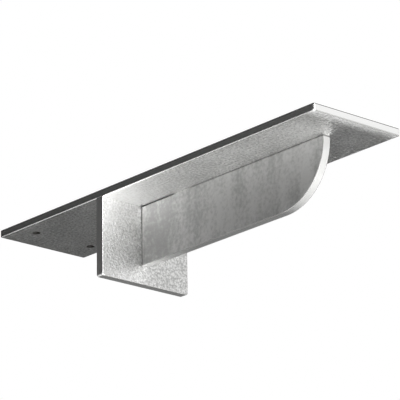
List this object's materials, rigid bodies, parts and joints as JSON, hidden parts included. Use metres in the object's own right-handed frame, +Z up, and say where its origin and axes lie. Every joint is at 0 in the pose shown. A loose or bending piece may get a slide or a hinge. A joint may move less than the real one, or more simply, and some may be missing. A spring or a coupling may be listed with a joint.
{
  "type": "counter support bracket",
  "caption": "Low-profile support bracket for a counter or shelf: a flat plate on a short leg, stiffened by an upright web with a rounded nose under its arm.",
  "frame": {"origin": "the corner of the wall that the bracket sits on, at mid-width: where the leg's rear face meets the underside of the top plate", "axes": "+Z up, the arm runs towards -Y and the tail towards +Y, X across"},
  "size_m": [0.0888, 0.381, 0.0719],
  "materials": {
    "top_plate_steel": "bare flat bar, faintly mottled",
    "leg_steel": "bare flat bar, faintly mottled",
    "web_steel": "bare flat bar, smoother, with faint upright streaks",
    "weld_metal": "wire-brushed bead"
  },
  "bodies": {
    "root": {"top_plate": "top_plate_steel", "leg_plate": "leg_steel", "web": "web_steel", "web_weld_1": "weld_metal", "web_weld_2": "weld_metal", "web_weld_3": "weld_metal", "leg_weld": "weld_metal", "post_weld": "weld_metal"}
  },
  "joints": []
}
